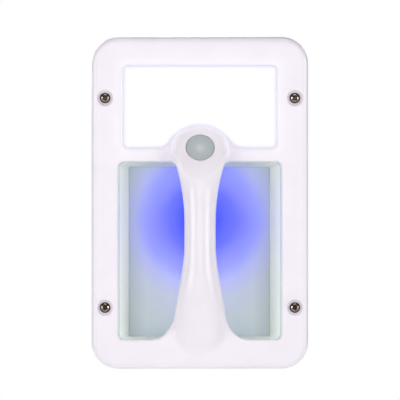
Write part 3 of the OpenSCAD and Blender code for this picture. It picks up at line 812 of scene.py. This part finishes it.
def grip_cover_field(x, y, z):
    """A shallow shell that closes the grip, with a slot for the blue light."""
    plan = (np.abs(x) - bar_half(z)) * BAR_SLOPE
    plan = both(plan, between(z, POCKET_LOW + 1.4, POCKET_TOP - 2.6), 1.5)
    solid = both(both(plan, y - GRIP_BACK_Y, 4.5), PART_Y + FIT - y, 0.3)
    hollow = both(plan + GRIP_WALL, y - GRIP_BACK_Y + GRIP_WALL, 2.7)
    for _, screw_z in GRIP_SCREWS:
        hollow = cut(hollow, np.hypot(x, z - screw_z) - POST_R, 0.5)
    solid = cut(solid, hollow, 0.1)
    for stop_z in (BLUE_Z - 20.2, BLUE_Z + 20.2):
        stop = both(np.abs(x) - 4.5, between(z, stop_z - 0.6, stop_z + 0.6), 0.2)
        solid = join(solid, both(stop, between(y, BLUE_BOARD_Y, GRIP_BACK_Y - 1), 0.2), 0.3)
    slot = rectangle(x, z, -4.2, 4.2, BLUE_Z - 17.2, BLUE_Z + 17.2, 3.6)
    solid = cut(solid, np.maximum(slot, GRIP_BACK_Y - 3 - y), 0.5)
    for _, screw_z in GRIP_SCREWS:
        away = np.hypot(x, z - screw_z)
        solid = cut(solid, away - SMALL_PASS_R, 0.1)
        solid = cut(solid, np.maximum(away - 2.5, GRIP_BACK_Y - 1.9 - y), 0.3)
    return solid


# ---- The pocket's tub ----


def tub_field(x, y, z):
    """The pocket's walls and floor, with a flange that lies against the housing's back."""
    space = both(pocket_outline(x, y, z), y - FLOOR_Y, 1.0)
    flange_y = BACK_Y + FIT
    shell = np.maximum(space - TUB_WALL, flange_y - y)
    flange = rectangle(x, z, -FLANGE_HALF, FLANGE_HALF, FLANGE_LOW, FLANGE_TOP, 4)
    flange = both(flange, between(y, flange_y, flange_y + FLANGE_THICK), 0.4)
    solid = join(shell, flange, 1.0)
    opened = np.maximum(space, BACK_Y - 3 - y)
    return cut(solid, opened, 0.3)


# ---- Behind the panel ----


def light_box_field(x, y, z):
    """The tray that holds the panel's board, with four screwed ears."""
    outline = panel_outline(x, z)
    solid = both(outline - BOX_WALL, between(y, BOX_FRONT_Y, BOX_BACK_Y), 0.5)
    for ear_x, ear_z in EAR_SCREWS:
        away = np.hypot(x - ear_x, z - ear_z)
        root_x = math.copysign(EAR_ROOT_X, ear_x)
        root = rectangle(x, z, root_x - 2, root_x + 2, ear_z - EAR_R, ear_z + EAR_R, 0.4)
        ear = both(np.minimum(away - EAR_R, root), between(y, -1.4, 1.5), 0.4)
        solid = cut(join(solid, ear, 0.6), away - SMALL_PASS_R, 0.2)
    inner = outline + BOX_FIT
    solid = cut(solid, both(inner, between(y, -7, SHELF_FRONT_Y), 0.5), 0.2)
    behind = np.maximum(inner, SHELF_BACK_Y - y)
    for px, pz in COVER_SCREWS:
        behind = np.maximum(behind, POST_R - np.hypot(x - px, z - pz))
    solid = cut(solid, behind, 0.3)
    for px, pz in COVER_SCREWS:
        away = np.hypot(x - px, z - pz)
        solid = cut(solid, np.maximum(away - SMALL_THREAD_R, SHELF_FRONT_Y + 0.4 - y), 0.1)
    for wire_x in PANEL_WIRE_XS:
        solid = cut(solid, np.hypot(x - wire_x, z - PANEL_WIRE_Z) - 1, 0.2)
    return solid


def board_posts(solid, x, y, z):
    """Adds the four drilled posts that the driver's board is screwed to."""
    for px in (-BOARD_SCREW_X, BOARD_SCREW_X):
        for pz in (BOARD_Z - BOARD_SCREW_Z, BOARD_Z + BOARD_SCREW_Z):
            away = np.hypot(x - px, z - pz)
            solid = join(solid, np.maximum(away - 2.6, between(y, 21.6, 29.5)), 0.6)
            solid = cut(solid, np.maximum(away - 1.05, y - 27.5), 0.1)
    return solid


def rear_cover_field(x, y, z):
    """The closed cover behind the tray, with a shallow sunk field on its back."""
    outline = panel_outline(x, z)
    solid = both(both(outline - BOX_WALL, y - COVER_BACK_Y, 2.2), COVER_FRONT_Y - y, 0.4)
    hollow = both(outline + 0.5, y - COVER_FLOOR_Y, 1.0)
    for px, pz in COVER_SCREWS:
        hollow = np.maximum(hollow, POST_R - np.hypot(x - px, z - pz))
    solid = cut(solid, hollow, 0.3)
    sunk = both(outline + SUNK_INSET, 6.5 - corner_distance(x, z), 2.0)
    sunk = both(sunk, 13 - np.hypot(x - GLAND_X, z - GLAND_Z), 2.0)
    solid = cut(solid, both(sunk, COVER_BACK_Y - SUNK_DEPTH - y, 0.2), 0.4)
    for px, pz in COVER_SCREWS:
        away = np.hypot(x - px, z - pz)
        solid = cut(solid, away - SMALL_PASS_R, 0.1)
        solid = cut(solid, np.maximum(away - 2.6, COVER_FLOOR_Y - y), 0.4)
    wire_notch = np.maximum(np.hypot(x - BUTTON_WIRE_X, y - 17) - 1.6, z - 60)
    solid = board_posts(cut(solid, wire_notch, 0.2), x, y, z)
    return cut(solid, np.hypot(x - GLAND_X, z - GLAND_Z) - GLAND_HOLE_R, 0.2)


def corner_distance(x, z):
    """Distance from the nearest of the cover's four screws."""
    low = np.hypot(np.abs(x) - COVER_SCREWS[1][0], z - COVER_SCREWS[1][1])
    high = np.hypot(np.abs(x) - COVER_SCREWS[3][0], z - COVER_SCREWS[3][1])
    return np.minimum(low, high)


def hexagon(x, z, r):
    """A hexagon whose corners are r from its middle, one of them towards X."""
    turn = math.radians(30)
    far = np.abs(z)
    for side in (-1, 1):
        far = np.maximum(far, np.abs(math.cos(turn) * x + side * math.sin(turn) * z))
    return far - r * math.cos(turn)


def gland_field(x, y, z):
    """The cable gland's body: a flanged hexagon with a thread in front and behind."""
    u = x - GLAND_X
    v = z - GLAND_Z
    radial = np.hypot(u, v)
    inner = thread_field(u, v, y, 5.9, 5.4, GLAND_PITCH)
    inner = np.maximum(inner, between(y, *GLAND_FRONT_YS))
    flange = both(hexagon(u, v, 8.5), between(y, *GLAND_FLANGE_YS), 0.4)
    flange = both(flange, radial - 8.2, 0.3)
    outer = thread_field(u, v, y, 5.5, 5.0, GLAND_PITCH)
    outer = np.maximum(outer, between(y, *GLAND_BACK_YS))
    solid = join(join(inner, flange, 0.1), outer, 0.1)
    return cut(solid, radial - CABLE_HOLE_R, 0.3)


def gland_nut_field(x, y, z):
    """The clamping nut: a hexagon that rounds down to the cable's hole."""
    u = x - GLAND_X
    v = z - GLAND_Z
    radial = np.hypot(u, v)
    hexed = both(hexagon(u, v, 8.2), between(y, *GLAND_NUT_YS), 0.4)
    hexed = both(hexed, radial - 8.0, 0.3)
    dome = both(radial - 7.0 + (y - 40) * 0.35, between(y, *GLAND_DOME_YS), 1.6)
    solid = join(hexed, dome, 0.3)
    solid = cut(solid, np.maximum(radial - 5.55, y - 40.1), 0.2)
    return cut(solid, radial - CABLE_HOLE_R, 0.6)


def locknut_field(x, y, z):
    """The flat hexagon nut that holds the gland from inside."""
    u = x - GLAND_X
    v = z - GLAND_Z
    solid = both(hexagon(u, v, 8.0), between(y, *LOCKNUT_YS), 0.4)
    return cut(solid, np.hypot(u, v) - 5.95, 0.3)


# ---- The lens and the tub's inside, marked for their materials ----


def mark(piece, name, measure):
    """Stores measure(x, y, z) at every point of the piece."""
    mesh = piece.data
    places = np.zeros(len(mesh.vertices) * 3)
    mesh.vertices.foreach_get("co", places)
    values = measure(*(places.reshape(-1, 3).T / MM))
    attribute = mesh.attributes.new(name, "FLOAT", "POINT")
    attribute.data.foreach_set("value", values.astype(np.float32))


def tub_inside(x, y, z):
    """1 on the pocket's own walls and floor, 0 on the tub's outside."""
    beyond = np.maximum(pocket_outline(x, y, z), y - FLOOR_Y)
    return np.clip(1.5 - beyond, 0, 1)


def lens_field(x, y, z):
    """The panel's window, with a flange behind the face."""
    outline = panel_outline(x, z)
    window = both(outline, between(y, LENS_LOW[1], LENS_HIGH[1]), 0.5)
    flange = both(outline - LENS_FLANGE, between(y, SKIN_Y + 0.02, LENS_HIGH[1]), 0.3)
    return join(window, flange)


def window_inset(x, y, z):
    """From 0, 1 mm outside the window's edge, to 1, 4 mm inside it."""
    return np.clip((1 - panel_outline(x, z)) / 5.0, 0, 1)


def window_spill(x, y, z):
    """How much of the panel's light spreads into the face beside it, as a painted glow."""
    near = np.exp(-np.maximum(panel_outline(x, z), 0) / 4)
    return near * np.clip((y - FACE_Y + 3) / 3, 0, 1)


def pocket_side(x, y, z):
    """1 on the housing's own part of the pocket's walls, where painted shade is laid."""
    below = np.clip((y - FACE_Y - 0.2) / 0.8, 0, 1)
    on_wall = np.clip(2.0 - pocket_outline(x, y, z), 0, 1)
    return below * on_wall * np.clip(grip_outline(x, z) - 0.5, 0, 1)


# ---- The button's cap ----


def cap_field(x, y, z):
    """A faintly dished disc, with a flange that stops it and a stem that pushes the switch."""
    radial, along = head_axes(x, y, z)
    disc = both(radial - CAP_R, between(along, -3.6, -CAP_SINK), 0.7)
    flange = both(radial - CAP_FLANGE_R, between(along, -4.8, -3.6), 0.2)
    stem = both(radial - CAP_STEM_R, between(along, -6.8, -4), 0.2)
    solid = join(join(disc, flange, 0.2), stem, 0.5)
    dimple = np.hypot(radial, along - (DIMPLE_R - DIMPLE_DEPTH - CAP_SINK)) - DIMPLE_R
    return cut(solid, dimple, 1.0)


# ---- Screws ----


def recess_field(u, v, along, turn, size, width, depth):
    """A cross recess that narrows as it goes down from the head's top at zero."""
    angle = math.radians(turn)
    a = np.abs(u * math.cos(angle) + v * math.sin(angle))
    b = np.abs(v * math.cos(angle) - u * math.sin(angle))
    narrow = 1 + 0.5 * along / depth
    bars = np.minimum(
        np.maximum(a - size / 2 * narrow, b - width / 2),
        np.maximum(b - size / 2 * narrow, a - width / 2))
    core = np.hypot(u, v) - width * narrow
    return np.maximum(np.minimum(bars, core), -depth - along)


def thread_field(u, v, along, r_out, r_in, pitch):
    """A screw thread along its axis."""
    phase = np.mod(along / pitch - np.arctan2(v, u) / (2 * math.pi), 1)
    ridge = np.maximum(1 - np.abs(phase - 0.5) * 4, 0)
    return (np.hypot(u, v) - r_in - (r_out - r_in) * ridge) * 0.6


def fixing_screw_field(turn):
    """A domed screw with its head's top at zero, running down by its length."""
    def field(x, y, z):
        along = -(y - SEAT_Y + SCREW_HEAD_RISE)
        radial = np.hypot(x, z)
        dome_r = (SCREW_HEAD_R ** 2 + SCREW_HEAD_RISE ** 2) / (2 * SCREW_HEAD_RISE)
        dome = np.hypot(radial, along + dome_r) - dome_r
        head = both(both(dome, -SCREW_HEAD_RISE - along, 0.3), radial - SCREW_HEAD_R, 0.3)
        neck = np.maximum(radial - 1.75, between(along, -12, -2))
        thread = both(thread_field(x, z, along, 2.0, 1.5, 1.7), along + 10.6, 0.2)
        tip = (radial - (along + SCREW_LENGTH) * 0.55) * 0.85
        shank = join(neck, np.maximum(thread, tip), 0.1)
        solid = join(head, shank, 0.3)
        return cut(solid, recess_field(x, z, along, turn, 4.8, 0.95, 1.9), 0.12)
    return field


def gather(name, node, shapes, places, material):
    """One piece from several meshed shapes, each moved to its place, for one CAD node."""
    points = []
    normals = []
    triangles = []
    quads = []
    count = 0
    for (p, faces, n), (x, z) in zip(shapes, places):
        points.append(p + np.array([x, 0, z]))
        normals.append(n)
        triangles.append(faces[0] + count)
        quads.append(faces[1] + count)
        count += len(p)
    faces = [np.concatenate(triangles), np.concatenate(quads)]
    piece = new_piece(name, np.concatenate(points), faces, np.concatenate(normals), material)
    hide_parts(node)


def fixing_screws(material):
    """The four screws, each with its recess at its own angle."""
    low = (-SCREW_HEAD_R, SEAT_Y - SCREW_HEAD_RISE, -SCREW_HEAD_R)
    high = (SCREW_HEAD_R, 16, SCREW_HEAD_R)
    shapes = [mesh_field(fixing_screw_field(turn), low, high, 0.16) for turn in SCREW_TURNS]
    places = [(-SCREW_X, SCREW_Z), (SCREW_X, SCREW_Z), (-SCREW_X, -SCREW_Z), (SCREW_X, -SCREW_Z)]
    gather("fixing_screw_set", "fixing_screws", shapes, places, material)


def small_screws(name, node, places, y, length, material):
    """Small pan-head screws whose heads stand at y and whose shanks run towards -Y."""
    r = SMALL_SCREW_R

    def field(u, away, v):
        along = away - y
        radial = np.hypot(u, v)
        head = both(radial - 1.8 * r, between(along, 0, 1.3 * r), 0.4 * r)
        thread = thread_field(u, v, along, r, 0.75 * r, 1.0)
        thread = np.maximum(thread, between(along, -length, 0.2))
        thread = np.maximum(thread, (radial - (along + length) * 0.6 - 0.2) * 0.8)
        solid = join(head, thread, 0.1)
        return cut(solid, recess_field(u, v, along - 1.3 * r, 30, 2.4, 0.6, 1.0), 0.05)

    low = (-1.8 * r, y - length, -1.8 * r)
    high = (1.8 * r, y + 1.3 * r, 1.8 * r)
    shape = mesh_field(field, low, high, 0.14)
    gather(name, node, [shape] * len(places), places, material)


# ---- Every CAD node that keeps its own mesh ----


def dress(node, material):
    """Gives a CAD node its material."""
    mesh = frame["nodes"][node].data
    mesh.materials.clear()
    mesh.materials.append(material)


def dress_cad_nodes():
    """Materials for the boards, seals, wires and other parts inside."""
    white = moulded("inner_white_plastic", (0.75, 0.75, 0.74), 0.4).material
    foam = moulded("foam", (0.12, 0.12, 0.13), 0.95, grain=0.6, grain_scale=2500).material
    rubber = moulded("rubber", (0.1, 0.1, 0.1), 0.7, grain=0.1).material
    board = moulded("circuit_board", (0.02, 0.16, 0.07), 0.35, grain=0.1).material
    white_board = moulded("white_board", (0.8, 0.8, 0.78), 0.4).material
    black = moulded("black_plastic", (0.03, 0.03, 0.035), 0.45, grain=0.06).material
    green = moulded("green_plastic", (0.05, 0.35, 0.12), 0.45).material
    copper = metal("copper", (0.8, 0.4, 0.2), 0.35)
    can = metal("can", (0.6, 0.62, 0.65), 0.35)
    steel = metal("inner_steel", (0.55, 0.56, 0.58), 0.3)
    red = moulded("red_sleeve", (0.6, 0.03, 0.03), 0.4).material
    yellow = moulded("yellow_sleeve", (0.75, 0.55, 0.05), 0.4).material
    blue = moulded("blue_sleeve", (0.03, 0.1, 0.55), 0.4).material
    looks = {
        "button_carrier": white, "wall_gasket": foam, "lens_gasket": rubber,
        "rear_gasket": rubber, "button_seal": rubber, "driver_board": board,
        "button_board": board, "blue_led_board": board, "panel_led_board": white_board,
        "white_leds": white_board, "blue_leds": white_board, "driver_coil": copper,
        "driver_capacitors": can, "driver_chip": black, "button_switch": black,
        "switch_plunger": black, "terminal_block": green, "panel_wires": red,
        "button_wires": yellow, "grip_wires": blue, "board_screws": steel,
        "blue_led_lens": blue_lens_plastic()}
    for node, material in looks.items():
        dress(node, material)


# ---- Camera, light and floor ----

CAMERA_AWAY = 4.0
CAMERA_TURN = math.radians(-0.8)
VIEW_WIDTH = 0.2844
SENSOR = 36.0
AIM_Z = 0.002


def add_camera():
    """A long lens in front of the face, turned by less than a degree."""
    data = bpy.data.cameras.new("camera")
    data.sensor_width = SENSOR
    data.lens = SENSOR * CAMERA_AWAY / VIEW_WIDTH
    data.clip_end = 20
    camera = bpy.data.objects.new("camera", data)
    bpy.context.scene.collection.objects.link(camera)
    aim = Vector((0, FACE_Y * MM, AIM_Z))
    out = Vector((math.sin(CAMERA_TURN), -math.cos(CAMERA_TURN), 0))
    camera.location = aim + out * CAMERA_AWAY
    camera.rotation_euler = (-out).to_track_quat("-Z", "Y").to_euler()
    bpy.context.scene.camera = camera


def add_panel(name, place, size, power):
    """A soft rectangular light that faces the object."""
    data = bpy.data.lights.new(name, "AREA")
    data.shape = "RECTANGLE"
    data.size, data.size_y = size
    data.energy = power
    light = bpy.data.objects.new(name, data)
    bpy.context.scene.collection.objects.link(light)
    light.location = place
    light.rotation_euler = (-light.location).to_track_quat("-Z", "Y").to_euler()


def add_world():
    """White to the camera; for the object, light from the front that dims to the sides."""
    world = bpy.data.worlds.new("studio")
    bpy.context.scene.world = world
    world.use_nodes = True
    tree = world.node_tree
    tree.nodes.clear()
    coords = tree.nodes.new("ShaderNodeTexCoord")
    split = tree.nodes.new("ShaderNodeSeparateXYZ")
    tree.links.new(coords.outputs["Generated"], split.inputs["Vector"])
    aside = tree.nodes.new("ShaderNodeMath")
    aside.operation = "ABSOLUTE"
    tree.links.new(split.outputs["X"], aside.inputs[0])
    ramp = tree.nodes.new("ShaderNodeValToRGB")
    tree.links.new(aside.outputs["Value"], ramp.inputs["Fac"])
    ramp.color_ramp.elements[0].position = 0.3
    ramp.color_ramp.elements[0].color = (0.15, 0.147, 0.153, 1)
    ramp.color_ramp.elements[1].position = 0.95
    ramp.color_ramp.elements[1].color = (0.03, 0.03, 0.035, 1)
    lit = tree.nodes.new("ShaderNodeBackground")
    tree.links.new(ramp.outputs["Color"], lit.inputs["Color"])
    plain = tree.nodes.new("ShaderNodeBackground")
    plain.inputs["Color"].default_value = (1, 1, 1, 1)
    rays = tree.nodes.new("ShaderNodeLightPath")
    mix = tree.nodes.new("ShaderNodeMixShader")
    tree.links.new(rays.outputs["Is Camera Ray"], mix.inputs["Fac"])
    tree.links.new(lit.outputs["Background"], mix.inputs[1])
    tree.links.new(plain.outputs["Background"], mix.inputs[2])
    out = tree.nodes.new("ShaderNodeOutputWorld")
    tree.links.new(mix.outputs["Shader"], out.inputs["Surface"])


# Each light's name, place and size in metres, and power in watts.

PANELS = [
    ("softbox", (-1.23, -0.89, 0.18), (0.8, 0.64), 9.0),
    ("softbox", (1.23, -0.89, 0.18), (0.8, 0.64), 9.0),
    ("top", (0, -0.5, 1.5), (1.2, 0.8), 4.6),
    ("front", (0, -2.6, 0.15), (1.6, 0.5), 8.4),
    ("back", (-0.6, 1.8, 0.7), (1.4, 1.2), 22)]


def add_lights():
    """Two softboxes at the sides, and panels above, in front and behind."""
    add_world()
    for name, place, size, power in PANELS:
        add_panel(name, place, size, power)


FLOOR_DROP = 0.042


def add_floor():
    """A pale floor below the object."""
    low = CAD_BOX[0][2] - FLOOR_DROP
    corners = [(-1.5, -1.5), (1.5, -1.5), (1.5, 0.45), (-1.5, 0.45)]
    mesh = bpy.data.meshes.new("floor")
    mesh.from_pydata([(x, y, low) for x, y in corners], [], [(0, 1, 2, 3)])
    floor = bpy.data.objects.new("floor", mesh)
    bpy.context.scene.collection.objects.link(floor)
    nodes = moulded("floor_paint", (0.85, 0.85, 0.85), 0.6, grain_scale=300)
    nodes.surface(Emission_Color=(0.8, 0.8, 0.8, 1), Emission_Strength=0.35)
    floor.data.materials.append(nodes.material)


# ---- Build ----

bpy.context.scene.view_settings.view_transform = "Standard"
add_camera()
add_lights()
add_floor()

housing = housing_plastic()
shell = field_piece(
    "front_shell", "front_housing", housing_field, 0.55, housing, 0.01)
# spill marks where the painted glow beside the window lies.
mark(shell, "spill", window_spill)
# well marks where the painted greener shade lies on the pocket's walls.
mark(shell, "well", pocket_side)
liner = field_piece(
    "pocket_liner", "pocket_tub", tub_field, 0.7, tub_plastic(), 0.01)
mark(liner, "inside", tub_inside)
diffuser = field_piece(
    "diffuser", "light_panel_lens", lens_field, 0.55, lens_plastic())
mark(diffuser, "inset", window_inset)
field_piece(
    "thumb_button", "button_cap", cap_field, 0.2, cap_plastic(), 0.01, "button")
tray = moulded("tray_plastic", (0.75, 0.75, 0.74), 0.4).material
cover = moulded("cover_plastic", (0.55, 0.56, 0.58), 0.42, grain=0.1).material
nylon = moulded("gland_nylon", (0.03, 0.03, 0.035), 0.42, grain=0.06).material
plated = metal("plated_steel", (0.55, 0.56, 0.58), 0.3)
field_piece("grip_cover", "grip_back_cover", grip_cover_field, 0.5, housing)
field_piece("light_tray", "light_box", light_box_field, 0.6, tray)
field_piece("back_cover", "rear_cover", rear_cover_field, 0.6, cover)
field_piece("gland_body", "cable_gland", gland_field, 0.25, nylon)
field_piece("gland_cap", "gland_nut", gland_nut_field, 0.25, nylon)
field_piece("gland_ring", "gland_locknut", locknut_field, 0.3, nylon)
small_screws("grip_cover_screw_set", "grip_cover_screws", GRIP_SCREWS, -4.85, 11, plated)
small_screws("tub_screw_set", "tub_screws", TUB_SCREWS, 0.6, 6.2, plated)
small_screws("tray_screw_set", "light_box_screws", EAR_SCREWS, 1.5, 7, plated)
small_screws("cover_screw_set", "rear_cover_screws", COVER_SCREWS, 29, 20.4, plated)
fixing_screws(screw_metal())
dress_cad_nodes()
